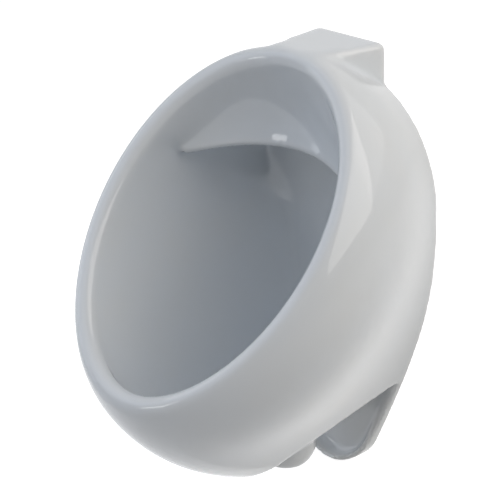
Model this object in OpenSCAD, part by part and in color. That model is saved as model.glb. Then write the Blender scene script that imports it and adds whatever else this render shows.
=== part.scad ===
// Wall hung urinal: a lofted vitreous china bowl with a hood ledge, its water inlet,
// its waste strainer and its two wall hangers. Millimetres, +Z up, the wall is the
// plane y = 0, the bowl stands forward of it along -Y, and z = 0 is the bowl's lowest edge.

/* [Rim] */
// Half width term of the rim's centre line
rim_half_width = 141; // [138:0.1:144]
// Second term of the rim's width, which makes the ring egg shaped
rim_egg_width = 31.3; // [29:0.1:33]
// Half length of the rim's centre line, measured along its leaning plane
rim_half_length = 197.4; // [195:0.1:199]
// Second term of the rim's length
rim_egg_length = 33.1; // [31:0.1:35]
// How far the rim's plane leans back from upright, in degrees
rim_lean = 37.8; // [37:0.1:39]
// Distance of the rim's middle in front of the wall
rim_mid_reach = 231; // [228:0.1:234]
// Height of the rim's middle
rim_mid_height = 310.1; // [308:0.1:312]
// Radius of the rolled rim
rim_roll = 12; // [11.5:0.1:12.5]

/* [Wall outline] */
// Half width of the bowl where it meets the wall
wall_half_width = 127; // [123:1:131]
// Height of the widest place on the wall
wall_widest_height = 322.5; // [316:0.5:328]
// Rise of the shoulders above the widest place
shoulder_rise = 144.5; // [141:0.5:148]
// Radius of the tongue's round lower end
tongue_radius = 56.5; // [54:0.5:58]

/* [Hood] */
// Half width of the hood's lip, where it fades into the side walls
lip_half_width = 130; // [126:1:132]
// Distance of the lip in front of the wall at its middle
lip_reach = 84; // [81:0.5:87]
// Height of the lip at its middle
lip_height = 395; // [391:0.5:397]
// How far the lip drops from its middle to its ends
lip_drop = 23.5; // [21:0.5:27]
// How far the lip comes forward from its middle to its ends
lip_bow = 55; // [50:1:60]
// Radius of the lip's rounded edge
lip_roll = 6; // [5:0.5:7]

/* [Top block] */
// Half width of the block at the wall
block_half_width = 47; // [45:0.5:48]
// Height of the block's flat top
block_height = 502; // [500:0.5:503]

/* [Underside] */
// Thickness of the china skins
china = 10; // [9:0.5:10.5]
// Thickness of the back plate behind the tongue
tongue_plate = 9; // [8:0.5:10]
// Depth of the tongue's side rims from the wall
tongue_rim = 20; // [19:0.5:22]
// Width of the tongue's side rims at their front
tongue_edge = 6; // [5:0.5:7]
// Radius of the fillet between the side rims and the back plate
tray_round = 10; // [8:0.5:11]
// Reach of the opening in the underside from the wall
opening_reach = 197; // [192:1:200]
// Height of the opening's edge at the wall
opening_height = 122.5; // [118:0.5:126]

/* [Outlet] */
// Distance of the outlet in front of the wall
outlet_reach = 98; // [95:0.5:101]
// Radius of the rounded outlet boss
boss_radius = 35; // [33:0.5:37]
// Height of the centre of the boss's ball
boss_height = 53; // [51:0.5:55]
// Radius of the outlet socket that takes the trap
outlet_radius = 24; // [23:0.5:25]
// Radius of the neck above the socket
neck_radius = 21; // [19:0.5:22]

/* [Inlet] */
// Height of the water inlet
inlet_height = 462; // [460:0.5:463]
// Outer radius of the inlet tail's thread
tail_radius = 13.2; // [12.8:0.1:13.6]
// Radius of the tail's socket for the supply
socket_radius = 9.3; // [9:0.1:9.6]
// Depth of the tail's socket
socket_depth = 14; // [12:0.5:16]
// Radius of the water way through the tail
water_radius = 6; // [5:0.5:6.5]
// Radius of the tail's flange inside the china
flange_radius = 19; // [17:0.5:20]
// Radius of the tail's nose that carries the spreader
nose_radius = 10; // [9.5:0.1:10.5]
// Width across the flats of the inlet's back nut
backnut_across = 36; // [34:0.5:38]
// Outer radius of the spreader's cup
spreader_radius = 15; // [14:0.5:16]

/* [Strainer] */
// Radius of the strainer plate
strainer_radius = 29.5; // [28:0.1:29.6]
// Rise of the strainer's dome
strainer_rise = 6; // [4:0.5:8]
// Radius of the strainer's drain holes
drain_radius = 2.4; // [1.8:0.1:2.6]
// Radius of the screw that holds the strainer together
screw_radius = 2.5; // [2:0.1:3]

/* [Hangers] */
// Distance of each hanger from the middle
hanger_offset = 67; // [66:0.5:68]
// Height of the ledge that rests on the hanger
hanger_height = 406; // [404:0.5:407]
// Width of a hanger
hanger_width = 26; // [24:0.5:28]
// Thickness of a hanger's steel
hanger_steel = 3; // [2.5:0.1:3.5]
// Height of a hanger's plate on the wall
hanger_plate = 40; // [36:1:42]
// Radius of a hanger's fixing holes
fixing_radius = 3.5; // [3:0.1:4]
// Distance between the two fixing holes of a hanger
fixing_spacing = 20; // [16:0.5:22]

/* [Hidden] */
// Fineness of the grids that the skins are lofted on
around = 84;
outer_arc_steps = 5;
outer_steps = 12;
inner_arc_steps = 3;
inner_steps = 18;
// The basin's back wall: its thickness, the middle it is closed at and its lowest point
back_wall = 16;
pole_height = 239;
basin_floor = 66;
basin_taper = 1.4;
// Handles of the wall outline's flanks, and the angle at which they meet the tongue's end
tongue_angle = 24;
flank_swell = 1;
flank_fall = 75;
flank_pull = 177;
// Angle at which each skin leaves the rim's roll: its mean, its term at both ends, its term at the top
outer_leave = [35, -7, -3];
inner_leave = [4, 17.5, -3.5];
// Shares of the gap that the outer skin's handles take, and its tilt at the wall, all round and at the tongue
rim_pull = 0.367;
wall_pull = 0.233;
wall_tilt = 1.1;
tongue_tilt = 0.3;
flange_least = 2;
// The lip's share of the mouth's width, and the swelling of the back wall round the inlet
lip_share = 0.97;
inlet_swell = 24;
// The top block's form
block_edge = 4;
block_flare = 2;
block_slope = 1;
block_foot = 440;
nose_foot = 466;
nose_half_width = 35;
nose_reach = 88;
// Middles that the inner skins are closed at
skin_apex = [0, -200, 304];
basin_apex = [0, -250, 334];
// Rise of the underside's hollow behind the opening's edge, and sizes past the whole bowl
hollow_rise = 18;
below = 50;
span = 400;

function mix(a, b, k) = a * (1 - k) + b * k;
function smooth(k) = k <= 0 ? 0 : k >= 1 ? 1 : k * k * (3 - 2 * k);
function bezier(p, k) =
    p[0] * pow(1 - k, 3) + 3 * p[1] * k * pow(1 - k, 2) + 3 * p[2] * k * k * (1 - k) + p[3] * pow(k, 3);
function unit(v) = v / norm(v);

// Rim
face_out = [0, -cos(rim_lean), sin(rim_lean)];
function rim_u(t) = rim_half_width * sin(t) + rim_egg_width * sin(2 * t);
function rim_v(t) = rim_half_length * cos(t) + rim_egg_length * cos(2 * t);
function in_plane(u, v) = [u, v * sin(rim_lean), v * cos(rim_lean)];
function rim_centre(t) = [0, -rim_mid_reach, rim_mid_height] + in_plane(rim_u(t), rim_v(t));
function rim_side(t) =
    let (
        du = rim_half_width * cos(t) + 2 * rim_egg_width * cos(2 * t),
        dv = -rim_half_length * sin(t) - 2 * rim_egg_length * sin(2 * t)
    )
    unit(in_plane(-dv, du));
function roll_point(t, a) = rim_centre(t) + rim_roll * (cos(a) * rim_side(t) + sin(a) * face_out);

// Wall outline, from the top (t = 0) down one side to the tongue (t = 180)
flank_end = [tongue_radius * cos(tongue_angle), tongue_radius * (1 - sin(tongue_angle))];
function wall_half(t) =
    t < 60 ? [wall_half_width * sin(1.5 * t), wall_widest_height + shoulder_rise * cos(1.5 * t)] :
    t < 150 ? bezier([[wall_half_width, wall_widest_height],
        [wall_half_width + flank_swell, wall_widest_height - flank_fall],
        flank_end + flank_pull * [sin(tongue_angle), cos(tongue_angle)], flank_end], (t - 60) / 90) :
    let (a = (90 - tongue_angle) * (180 - t) / 30) [tongue_radius * sin(a), tongue_radius * (1 - cos(a))];
function wall_point(t) =
    let (h = wall_half(t <= 180 ? t : 360 - t))
    [t <= 180 ? h[0] : -h[0], 0, h[1]];

// Outer skin, which ends in a straight flange along the tongue
function lowness(t) = 60 - abs(t - 180);
function skirt_flange(t) = flange_least + (tongue_rim - flange_least) * smooth(lowness(t) / 35);
function leave_angle(leave, t) = leave[0] + leave[1] * cos(2 * t) + leave[2] * cos(t);
function skin_leave(leave, t) = let (b = leave_angle(leave, t)) sin(b) * rim_side(t) - cos(b) * face_out;
function outer_handles(t) =
    let (
        start = roll_point(t, leave_angle(outer_leave, t)),
        stop = wall_point(t) - [0, skirt_flange(t), 0],
        gap = norm(stop - start),
        tilt = mix(wall_tilt, tongue_tilt, smooth(lowness(t) / 60))
    )
    [start, start + skin_leave(outer_leave, t) * gap * rim_pull,
        stop + wall_pull * mix([0, -gap, 0], start - stop, tilt), stop];
function outer_line(t) = concat(
    [for (i = [0 : outer_arc_steps - 1])
        roll_point(t, mix(90, leave_angle(outer_leave, t), i / outer_arc_steps))],
    [for (i = [0 : outer_steps]) bezier(outer_handles(t), i / outer_steps)], [wall_point(t)]);

// Inner skin, plain
function edge_turn(t) = let (h = min(t, 360 - t), q = h < 60 ? 1.5 * h : 45 + 0.75 * h) t > 180 ? -q : q;
function basin_edge(t) =
    let (q = edge_turn(t), c = cos(q), s = sin(q), low = wall_widest_height - basin_floor)
    c > 0 ? [(wall_half_width - 14) * s, -back_wall, wall_widest_height + (shoulder_rise - 14) * c] :
    [(wall_half_width - 14) * sign(s) * pow(abs(s), basin_taper), -back_wall,
        wall_widest_height - low * pow(-c, basin_taper)];
function plain_handles(t) =
    let (
        start = roll_point(t, 180),
        pole = [0, -back_wall, pole_height],
        knee = mix(pole, basin_edge(t), 0.54 - 0.14 * cos(t)),
        edge = basin_edge(t)
    )
    [start, start + skin_leave(inner_leave, t) * norm(edge - start) * 0.46 + 12 * rim_side(t),
        knee + (edge - pole) * (0.6 - 0.13 * cos(t)), knee];
// Stations along a plain line, gathered near the lip where the hood crosses it
hood_start = 49;
hood_end = 57;
lip_station = 5;
function hood_turn(t) = min(t, 360 - t);
function hood_share(t) = 1 - smooth((hood_turn(t) - hood_start) / (hood_end - hood_start));
// Share of a plain line at which it comes as near to the wall as the lip
function meets(t, y, low = 0, high = 0.9, tries = 9) =
    let (half = (low + high) / 2)
    tries == 0 ? half :
    bezier(plain_handles(t), half)[1] < y ? meets(t, y, half, high, tries - 1) : meets(t, y, low, half, tries - 1);
function station(t, i) =
    let (
        even = i / inner_steps,
        at_lip = meets(t, lip_point(t)[1]),
        near = i <= lip_station ? at_lip * i / lip_station : i <= 9 ? at_lip + 0.012 * (i - lip_station) :
            mix(at_lip + 0.048, 1, (i - 9) / (inner_steps - 9))
    )
    mix(near, even, smooth((hood_turn(t) - hood_end) / 24));
function plain_line(t) = [for (i = [1 : inner_steps]) bezier(plain_handles(t), station(t, i))];

// Hood: a curtain of china under the top of the rim, its lip, and the hollow behind it
function lip_point(t) =
    let (x = lip_share * roll_point(t, 180)[0], k = min(1, abs(x) / lip_half_width))
    [x, -lip_reach - lip_bow * k * k, lip_height - lip_drop * k * k];
function hollow_edge(t) =
    let (e = basin_edge(t))
    [e[0], -back_wall - inlet_swell * (1 - smooth((abs(e[0]) - 40) / 90)), e[2] - 2];
function hood_line(t) =
    let (
        start = roll_point(t, 180),
        lip = lip_point(t),
        root = lip + [0, 2 * lip_roll, 0],
        edge = hollow_edge(t),
        wall = plain_handles(t)[3],
        fall = norm(lip - start),
        front = [start, start - 0.35 * fall * face_out, lip + fall * [0, 0.22, 0.3], lip],
        back = [edge, [mix(edge[0], wall[0], 0.35), edge[1], mix(edge[2], wall[2], 0.35)],
            [mix(edge[0], wall[0], 0.7), wall[1], mix(edge[2], wall[2], 0.7)], wall],
        hollow = [root, root + [0, 6, 0.75 * (edge[2] - root[2]) + 12], edge + [0, -22, 10], edge]
    )
    concat(
        [for (i = [1 : lip_station]) bezier(front, i / lip_station)],
        [for (i = [1 : 4]) lip + lip_roll * [0, 1 - cos(45 * i), -sin(45 * i)]],
        [for (i = [1 : 5]) bezier(hollow, i / 5)],
        [for (i = [1 : 4]) bezier(back, i / 4)]);

function inner_line(t) =
    let (k = hood_share(t))
    concat([for (i = [1 : inner_arc_steps]) roll_point(t, 90 + 90 * i / inner_arc_steps)],
        k == 0 ? plain_line(t) : [for (i = [0 : inner_steps - 1]) mix(plain_line(t)[i], hood_line(t)[i], k)]);

function ring_line(t) = let (w = inner_line(t))
    concat([for (i = [len(w) - 1 : -1 : 0]) w[i]], outer_line(t));

function grid_points(lines) = [for (l = lines) each l];
function grid_faces(n, m) = [for (i = [0 : n - 1]) let (k = (i + 1) % n) for (j = [0 : m - 2])
    each [[i * m + j, i * m + j + 1, k * m + j + 1], [i * m + j, k * m + j + 1, k * m + j]]];

module closed_grid(lines, first, last) {
    n = len(lines);
    m = len(lines[0]);
    points = concat(grid_points(lines), [first, last]);
    faces = concat(grid_faces(n, m),
        [for (i = [0 : n - 1]) [n * m, i * m, ((i + 1) % n) * m]],
        [for (i = [0 : n - 1]) [n * m + 1, ((i + 1) % n) * m + m - 1, i * m + m - 1]]);
    polyhedron(points = points, faces = faces, convexity = 8);
}

// Each line of points moved along the surface's own normal
function normal_at(lines, i, j) =
    let (n = len(lines), m = len(lines[0]))
    unit(cross(lines[(i + 1) % n][j] - lines[(i + n - 1) % n][j],
        lines[i][min(m - 1, j + 1)] - lines[i][max(0, j - 1)]));
function grow(lines, d) = [for (i = [0 : len(lines) - 1]) [for (j = [0 : len(lines[0]) - 1])
    lines[i][j] + d * normal_at(lines, i, j)]];
coarse_turns = [for (i = [0 : around / 2 - 1]) 720 * i / around];

side_reach = max([for (t = [50 : 1 : 110]) for (k = [0 : 0.02 : 0.5]) bezier(outer_handles(t), k)[0]]);
turns = [for (i = [0 : around - 1]) 360 * i / around];
pole = [0, -back_wall, pole_height];

module china_solid() {
    closed_grid([for (t = turns) ring_line(t)], pole, [0, 0, pole_height]);
}

// The space inside the outer skin, and the basin with its wall around it
module inside_of_skin() {
    skin = grow([for (t = coarse_turns) concat(
        [for (i = [1 : outer_steps]) bezier(outer_handles(t), i / outer_steps)], [wall_point(t)])], -china);
    closed_grid(skin, skin_apex, [0, 0, pole_height]);
}

module basin_and_wall() {
    basin = grow([for (t = coarse_turns) let (w = plain_line(t)) [for (i = [1 : 2 : len(w) - 1]) w[i]]], china);
    closed_grid(basin, basin_apex, [0, china - back_wall, pole_height]);
}

// Slab across the whole width that reaches from the wall out to the opening's curved edge
module opening_prism() {
    steps = 24;
    handles = [[-opening_reach, 24], [17 - opening_reach, opening_height - 26.5],
        [6 - outlet_reach, opening_height - 25.5], [-tongue_plate, opening_height]];
    arc = [for (i = [0 : steps]) bezier(handles, i / steps)];
    front = -tongue_rim - 9;
    foot = [[-tongue_plate - 4, 62], [-tongue_rim, 24], [front, -2], [front, -below], [-opening_reach, -below]];
    translate([-span / 2, 0, 0]) rotate([90, 0, 90]) linear_extrude(span) polygon(concat(arc, foot));
}

// The tongue's shallow tray: thin side rims and a wide fillet round its floor
module tray() {
    low_outline = [for (t = [98 : 4 : 262]) [wall_point(t)[0], wall_point(t)[2]]];
    intersection() {
        hull() for (i = [0 : 7]) {
            a = 15 * min(i, 6);
            depth = tongue_plate + tray_round * (1 - cos(a)) + (i == 7 ? 12 : 0);
            translate([0, -depth, 0]) rotate([90, 0, 0]) linear_extrude(0.01)
                offset(delta = -tongue_edge - tray_round * (1 - sin(a))) polygon(low_outline);
        }
        translate([-span / 2, -span / 2, -below]) cube([span, span, below + opening_height + hollow_rise]);
    }
}

module under_hollow() {
    tray_front = tongue_plate + tray_round - 2;
    hollow_reach = opening_reach - 12;
    difference() {
        union() {
            intersection() {
                inside_of_skin();
                translate([-span / 2, -hollow_reach, -below])
                    cube([span, hollow_reach - tray_front, below + opening_height + hollow_rise]);
            }
            tray();
            opening_prism();
        }
        basin_and_wall();
        translate([0, -outlet_reach, boss_height - 4]) cylinder(r = boss_radius - 0.3, h = 90, $fn = 96);
    }
}

// Block at the top rear: full width at the wall, narrower at its nose inside the rim
module top_block() {
    hull() for (side = [-1, 1]) {
        at_block(side * block_half_width, block_height) wall_corner();
        at_block(side * (block_half_width + block_flare), block_foot + 2 * block_edge) wall_corner();
        for (z = [block_height - block_slope, nose_foot + 2 * block_edge])
            translate([side * (nose_half_width - block_edge), block_edge - nose_reach, z - block_edge])
                sphere(r = block_edge, $fn = 16);
    }
}

module at_block(x, z) {
    translate([x - sign(x) * block_edge, 0, z - block_edge]) children();
}

module wall_corner() {
    rotate([90, 0, 0]) cylinder(r = block_edge, h = 1, $fn = 24);
}

module china_body() {
    difference() {
        union() {
            china_solid();
            top_block();
        }
        under_hollow();
    }
}

// Places where the fittings meet the china
inlet_pocket = 22;
inlet_pocket_radius = 26;
inlet_wall = 14;
chamber_depth = 26;
chamber_radius = 22;
seat_height = 54;
neck_height = 40;
seat_radius = 30;
hanger_pocket = 18;
hanger_room = 4;
ledge = 10;
pad = 2;
ease = 0.05;
play = 0.3;
round_fine = 96;
round_small = 48;

module along_y(y, z) {
    translate([0, y, z]) rotate([90, 0, 0]) children();
}

module ring(inner, outer, h) {
    difference() {
        cylinder(r = outer, h = h, $fn = round_fine);
        translate([0, 0, -1]) cylinder(r = inner, h = h + 2, $fn = round_fine);
    }
}

// Bowl
module outlet_boss() {
    translate([0, -outlet_reach, boss_height]) rotate_extrude($fn = round_fine) intersection() {
        circle(r = boss_radius, $fn = round_fine);
        translate([0, -boss_radius]) square([boss_radius, boss_radius + seat_height - 4 - boss_height]);
    }
}

module hanger_recess() {
    w = hanger_width + 2 * hanger_room;
    h = hanger_plate + hanger_room;
    translate([-w / 2, -hanger_pocket, hanger_height - h]) cube([w, hanger_pocket + 1, h]);
    translate([-w / 2, -hanger_pocket, hanger_height - 1]) cube([w, hanger_pocket - ledge, 13]);
}

module bowl() {
    color([0.92, 0.93, 0.93]) difference() {
        union() {
            resize([2 * side_reach, 0, 0]) china_body();
            outlet_boss();
        }
        translate([0, -outlet_reach, 0]) cylinder(r = outlet_radius, h = neck_height, $fn = round_fine);
        translate([0, -outlet_reach, 0]) cylinder(r = neck_radius, h = 80, $fn = round_fine);
        translate([0, -outlet_reach, seat_height]) cylinder(r = seat_radius, h = 30, $fn = round_fine);
        along_y(1, inlet_height) cylinder(r = inlet_pocket_radius, h = inlet_pocket + 1, $fn = round_fine);
        along_y(1, inlet_height)
            cylinder(r = tail_radius + 2 * play, h = inlet_pocket + inlet_wall + 5, $fn = round_fine);
        along_y(-inlet_pocket - inlet_wall, inlet_height)
            cylinder(r = chamber_radius, h = chamber_depth, $fn = round_fine);
        for (x = [-1, 1]) translate([x * hanger_offset, 0, 0]) hanger_recess();
    }
}

// Water inlet: tail, gasket, washer, back nut, filter
tail_start = 2;
gasket = 3;
flange = 3;
nose = 10;
washer = 2;
backnut = 9;
filter = 2;
filter_radius = socket_radius - 1;
flange_start = inlet_pocket + inlet_wall + gasket;
nose_start = flange_start + flange;
nose_end = nose_start + nose;
seal_tube = 0.95;
seal_reach = 5;
groove_radius = nose_radius + ease - 2 * seal_tube;
grub_radius = 1.5;
grub_depth = 0.8;
grub_reach = 2.2;

module inlet_tail() {
    color([0.78, 0.66, 0.36]) difference() {
        union() {
            along_y(-tail_start, inlet_height)
                cylinder(r = tail_radius, h = flange_start - tail_start + 1, $fn = round_fine);
            along_y(-flange_start, inlet_height) cylinder(r = flange_radius, h = flange, $fn = round_fine);
            along_y(-nose_start + 1, inlet_height) cylinder(r = nose_radius, h = nose + 1, $fn = round_fine);
        }
        along_y(1 - tail_start, inlet_height) cylinder(r = socket_radius, h = socket_depth + 1, $fn = round_fine);
        along_y(-tail_start, inlet_height) cylinder(r = filter_radius, h = socket_depth + filter, $fn = round_fine);
        along_y(-tail_start, inlet_height) cylinder(r = water_radius, h = nose_end, $fn = round_fine);
        along_y(-nose_start - seal_reach + seal_tube, inlet_height)
            ring(groove_radius, nose_radius + 2, 2 * seal_tube);
        translate([0, -nose_start - grub_reach, inlet_height + nose_radius - grub_depth])
            cylinder(r = grub_radius + ease, h = grub_depth + 1, $fn = round_small);
    }
}

module inlet_gasket() {
    color([0.12, 0.12, 0.13]) along_y(-inlet_pocket - inlet_wall, inlet_height)
        ring(tail_radius + ease, flange_radius, gasket);
}

module inlet_washer() {
    color([0.12, 0.12, 0.13]) along_y(washer - inlet_pocket, inlet_height)
        ring(tail_radius + ease, chamber_radius, washer);
}

module inlet_backnut() {
    color([0.78, 0.66, 0.36]) along_y(washer + backnut - inlet_pocket, inlet_height) difference() {
        cylinder(r = backnut_across / 2 / cos(30), h = backnut, $fn = 6);
        translate([0, 0, -1]) cylinder(r = tail_radius + ease, h = backnut + 2, $fn = round_fine);
    }
}

module inlet_filter() {
    color([0.75, 0.77, 0.78]) along_y(-tail_start - socket_depth, inlet_height) difference() {
        cylinder(r = filter_radius - ease, h = filter, $fn = round_fine);
        translate([0, 0, -1]) drain_rings(2.6, 0.9, [0, 1]);
    }
}

// Rings of round holes: one in the middle if wanted, then 6, then 12
module drain_rings(pitch, r, rings) {
    for (k = rings) for (i = [0 : max(0, 6 * k - 1)])
        rotate(60 * i / max(1, k)) translate([k * pitch, 0, 0]) cylinder(r = r, h = 20, $fn = round_small);
}

// Spreader: a cup over the tail's nose that throws the water down the basin's back
spreader_gap = 0.3;
spreader_room = 5;
spreader_front = 3;
spray_radius = 1.3;
module spreader() {
    start = nose_start + spreader_gap;
    finish = nose_end + spreader_room + spreader_front;
    color([0.82, 0.84, 0.86]) difference() {
        along_y(-start, inlet_height) cylinder(r = spreader_radius, h = finish - start, $fn = round_fine);
        along_y(1 - start, inlet_height)
            cylinder(r = nose_radius + ease, h = nose_end + spreader_room - start + 1, $fn = round_fine);
        for (a = [-50 : 20 : 50]) translate([0, -nose_end - spreader_room / 2, inlet_height]) rotate([0, 180 + a, 0])
            translate([0, 0, 5]) cylinder(r = spray_radius, h = spreader_radius, $fn = round_small);
        translate([0, -nose_start - grub_reach, inlet_height])
            cylinder(r = grub_radius + ease, h = spreader_radius + 1, $fn = round_small);
    }
}

module spreader_seal() {
    color([0.12, 0.12, 0.13]) along_y(-nose_start - seal_reach, inlet_height)
        rotate_extrude($fn = round_fine) translate([groove_radius + seal_tube, 0]) circle(r = seal_tube, $fn = 32);
}

module spreader_grub_screw() {
    length = spreader_radius - 1 - nose_radius + grub_depth;
    color([0.7, 0.71, 0.72])
        translate([0, -nose_start - grub_reach, inlet_height + nose_radius - grub_depth]) difference() {
            cylinder(r = grub_radius, h = length, $fn = round_small);
            translate([0, 0, length - 1.2]) cylinder(r = 0.8, h = 2, $fn = 6);
        }
}

// Strainer set, which lifts out of the outlet as one
strainer_ring_height = 2;
strainer_steel = 2.5;
strainer_flat = 5;
plate_foot = seat_height + strainer_ring_height;
spider_height = 46;
spider_steel = 2;
hub_radius = 7;
leg_width = 5;
foot_height = 8;
head_radius = 4.6;
head_height = 3;
nut_across = 8;
nut_height = 3.5;

module at_outlet(z) {
    translate([0, -outlet_reach, z]) children();
}

module strainer_ring() {
    color([0.12, 0.12, 0.13]) at_outlet(seat_height) ring(neck_radius + 1, strainer_radius, strainer_ring_height);
}

module strainer_plate() {
    ball = (pow(strainer_radius - strainer_flat, 2) + pow(strainer_rise, 2)) / (2 * strainer_rise);
    spread = asin((strainer_radius - strainer_flat) / ball);
    arc = [for (i = [0 : 8]) let (a = spread * (1 - i / 8)) [ball * sin(a), ball * cos(a) - ball + strainer_rise]];
    color([0.82, 0.84, 0.86]) difference() {
        at_outlet(plate_foot) rotate_extrude($fn = round_fine) polygon(concat(
            [[strainer_radius, 0], [strainer_radius, strainer_steel]],
            [for (p = arc) p + [0, strainer_steel]],
            [for (i = [8 : -1 : 0]) arc[i]]));
        at_outlet(plate_foot - 1) drain_rings(8, drain_radius, [1, 2]);
        at_outlet(plate_foot) cylinder(r = screw_radius + play, h = 30, $fn = round_small);
    }
}

module strainer_spider() {
    reach = neck_radius - play;
    color([0.78, 0.79, 0.8]) at_outlet(spider_height) difference() {
        union() {
            cylinder(r = hub_radius, h = spider_steel, $fn = round_small);
            intersection() {
                cylinder(r = reach, h = foot_height, $fn = round_fine);
                for (i = [0 : 2]) rotate(120 * i + 30) union() {
                    translate([0, -leg_width / 2, 0]) cube([reach + 1, leg_width, spider_steel]);
                    translate([reach - spider_steel, -leg_width / 2, 0]) cube([spider_steel + 1, leg_width, foot_height]);
                }
            }
        }
        translate([0, 0, -1]) cylinder(r = screw_radius + ease, h = spider_steel + 2, $fn = round_small);
    }
}

module strainer_screw() {
    top = plate_foot + strainer_rise + strainer_steel;
    tip = spider_height - nut_height - 1.5;
    color([0.8, 0.81, 0.82]) at_outlet(0) difference() {
        union() {
            translate([0, 0, tip]) cylinder(r = screw_radius, h = top - tip + 1, $fn = round_small);
            translate([0, 0, top]) cylinder(r = head_radius, h = head_height - 1, $fn = round_small);
            translate([0, 0, top + head_height - 1])
                cylinder(r1 = head_radius, r2 = head_radius - 1.4, h = 1, $fn = round_small);
        }
        translate([-head_radius - 1, -0.6, top + head_height - 1.4]) cube([2 * head_radius + 2, 1.2, 2]);
    }
}

module strainer_nut() {
    color([0.78, 0.66, 0.36]) at_outlet(spider_height - nut_height) difference() {
        cylinder(r = nut_across / 2 / cos(30), h = nut_height, $fn = 6);
        translate([0, 0, -1]) cylinder(r = screw_radius + ease, h = nut_height + 2, $fn = round_small);
    }
}

// Wall hangers: a plate on the wall, an arm under the china's ledge and an upturned hook
hook_rise = 7;
hole_drop = 12;
module hanger(side) {
    arm = ledge + 0.4 + hanger_steel;
    top = hanger_height - pad;
    color([0.7, 0.72, 0.74]) translate([side * hanger_offset, 0, 0]) difference() {
        union() {
            translate([-hanger_width / 2, -hanger_steel, top - hanger_plate + pad])
                cube([hanger_width, hanger_steel, hanger_plate - pad]);
            translate([-hanger_width / 2, -arm, top - hanger_steel]) cube([hanger_width, arm, hanger_steel]);
            translate([-hanger_width / 2, -arm, top - hanger_steel])
                cube([hanger_width, hanger_steel, hanger_steel + pad + hook_rise]);
        }
        for (k = [0, 1]) along_y(1, top - hole_drop - k * fixing_spacing)
            cylinder(r = fixing_radius, h = hanger_steel + 2, $fn = round_small);
    }
}

module hanger_left() {
    hanger(-1);
}

module hanger_right() {
    hanger(1);
}

module hanger_pad(side) {
    color([0.15, 0.15, 0.16]) translate([side * hanger_offset - hanger_width / 2, -ledge, hanger_height - pad])
        cube([hanger_width, ledge, pad]);
}

module hanger_pad_left() {
    hanger_pad(-1);
}

module hanger_pad_right() {
    hanger_pad(1);
}

bowl();
inlet_tail();
inlet_gasket();
inlet_washer();
inlet_backnut();
inlet_filter();
spreader();
spreader_seal();
spreader_grub_screw();
strainer_ring();
strainer_plate();
strainer_spider();
strainer_screw();
strainer_nut();
hanger_left();
hanger_right();
hanger_pad_left();
hanger_pad_right();
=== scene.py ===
from math import atan2, cos, pi, radians, sin

import bmesh
import bpy
import numpy as np
from bpy.props import FloatProperty, IntProperty, PointerProperty
from bpy.types import Operator, Panel, PropertyGroup
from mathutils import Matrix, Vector


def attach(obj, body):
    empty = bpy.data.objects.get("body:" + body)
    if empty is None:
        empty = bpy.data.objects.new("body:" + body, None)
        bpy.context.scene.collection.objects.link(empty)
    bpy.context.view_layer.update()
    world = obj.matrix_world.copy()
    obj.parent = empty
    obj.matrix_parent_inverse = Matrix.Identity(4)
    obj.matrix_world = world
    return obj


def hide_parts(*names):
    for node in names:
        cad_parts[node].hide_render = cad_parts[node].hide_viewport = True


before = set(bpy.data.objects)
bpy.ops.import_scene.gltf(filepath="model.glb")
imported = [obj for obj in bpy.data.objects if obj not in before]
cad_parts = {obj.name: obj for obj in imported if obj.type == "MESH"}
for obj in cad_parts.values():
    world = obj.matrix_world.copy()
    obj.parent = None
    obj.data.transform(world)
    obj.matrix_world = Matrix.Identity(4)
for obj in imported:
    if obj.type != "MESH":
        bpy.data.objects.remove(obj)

bl_info = {
    "name": "Wall hung urinal",
    "version": (1, 0, 0),
    "blender": (4, 5, 0),
    "location": "3D View > Sidebar > Urinal",
    "description": "Builds the looks of a wall hung china urinal on its packed CAD part",
    "category": "Object",
}

# Sizes of the bowl in millimetres, and turns and angles in degrees. They are the CAD part's, but the block
# is fuller and softer here, and the hood's front is straighter
# Rim: first and second wave of its half width and half length, its lean in radians, its middle, its roll's
# radius and the direction it faces
RIM_WIDTH = (141, 31.3)
RIM_LENGTH = (197.4, 33.1)
RIM_LEAN = radians(37.8)
RIM_MIDDLE = (0, -231, 310.1)
RIM_ROLL = 12
FACE_OUT = np.array([0, -cos(RIM_LEAN), sin(RIM_LEAN)])
# Outline on the wall: round shoulders, flanks that tilt inward, and the tongue's round end
WALL_HALF_WIDTH = 127
WALL_WIDEST_HEIGHT = 322.5
SHOULDER_RISE = 144.5
SHOULDER_END = 60
SHOULDER_PULL = 75
FLANK_SWELL = 1
FLANK_TILT = 24
FLANK_PULL = 177
TONGUE_START = 150
TONGUE_RADIUS = 56.5
FLANK_END = (TONGUE_RADIUS * cos(radians(FLANK_TILT)), TONGUE_RADIUS * (1 - sin(radians(FLANK_TILT))))
# Outer skin: where it leaves the roll (mean, share of two waves, share of one), the pull of its handles
# as shares of its length, and how it comes to lie along the tongue within a span of turns round the foot
OUTER_LEAVE = (35, -7, -3)
OUTER_PULL = (0.367, 0.233)
OUTER_TILT = (1.1, 0.3)
SKIN_FOOT = 2
FOOT_SPAN = 60
FOOT_FADE = 35
# Basin: the china's thickness, the back wall, the basin's edge on it, and its plain lines from the rim down
# to their knee
CHINA = 10
BACK_WALL = 16
POLE_HEIGHT = 239
BASIN_INSET = 14
BASIN_FLOOR = 66
BASIN_TAPER = 1.4
INNER_LEAVE = (4, 17.5, -3.5)
INNER_PULL = 0.46
INNER_FLARE = 12
KNEE_SHARE = (0.54, -0.14)
KNEE_PULL = (0.6, -0.13)
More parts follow.
